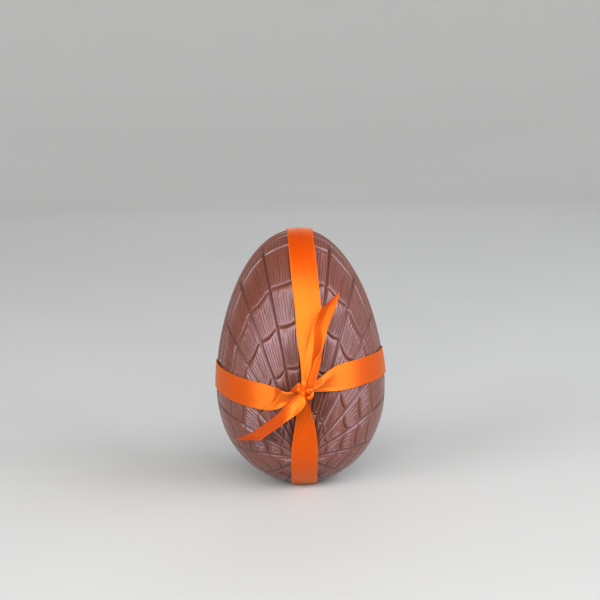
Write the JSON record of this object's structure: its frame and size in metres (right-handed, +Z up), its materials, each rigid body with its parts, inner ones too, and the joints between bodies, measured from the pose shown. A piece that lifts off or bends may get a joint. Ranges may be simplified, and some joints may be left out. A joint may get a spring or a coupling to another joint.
{
  "type": "chocolate egg with ribbon",
  "caption": "Upright moulded chocolate egg with a traditional crackle relief, tied parcel-style with a satin ribbon that is knotted at the front and leaves loose ends.",
  "frame": {"origin": "under the middle of the egg, on the surface that it stands on", "axes": "+Z up along the egg from its blunt end to its pointed end, -Y towards the knot at the front, +X to the right of someone who looks at the knot"},
  "size_m": [0.1013, 0.1135, 0.1512],
  "materials": {
    "chocolate": "moulded milk chocolate, low gloss",
    "satin": "orange satin"
  },
  "bodies": {
    "root": {"egg": "chocolate", "ribbon": "satin"}
  },
  "joints": []
}
